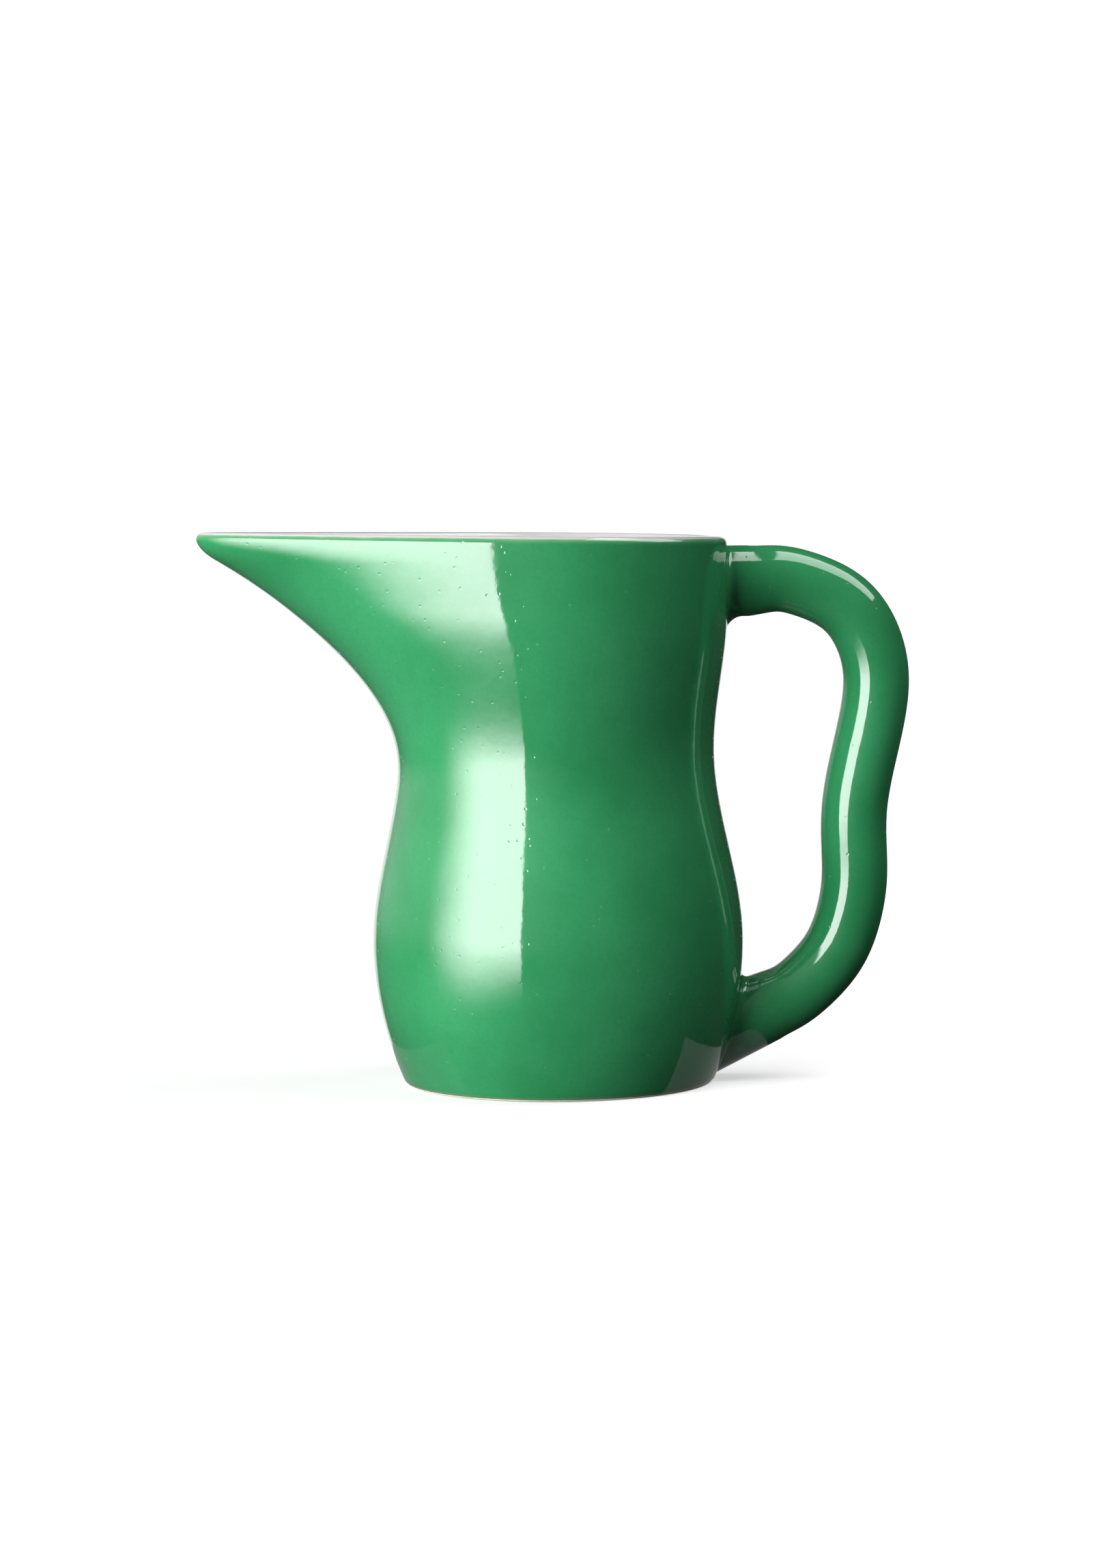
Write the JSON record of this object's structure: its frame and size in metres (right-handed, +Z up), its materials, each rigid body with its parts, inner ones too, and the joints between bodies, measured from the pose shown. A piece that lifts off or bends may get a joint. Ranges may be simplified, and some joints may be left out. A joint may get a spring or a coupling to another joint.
{
  "type": "ceramic pitcher",
  "caption": "Slip-cast pitcher in green glaze with a waisted body, a long drawn-out pouring spout and a wavy loop handle.",
  "frame": {"origin": "centre of the foot ring, on the surface the pitcher stands on", "axes": "+Z up, -X towards the spout's tip, +X towards the handle, XZ is the plane of symmetry"},
  "size_m": [0.2015, 0.105, 0.1567],
  "materials": {
    "bare_clay": "fired, unglazed, fine and matt",
    "joint_slip": "fired slip, covered by the glaze",
    "green_glaze": "glossy, breaking paler at the lip",
    "white_glaze": "glossy"
  },
  "bodies": {
    "root": {"body_casting": "bare_clay", "handle_casting": "bare_clay", "upper_joint_slip": "joint_slip", "lower_joint_slip": "joint_slip", "body_glaze": "green_glaze", "handle_glaze": "green_glaze", "liner_glaze": "white_glaze", "base_glaze": "white_glaze"}
  },
  "joints": []
}
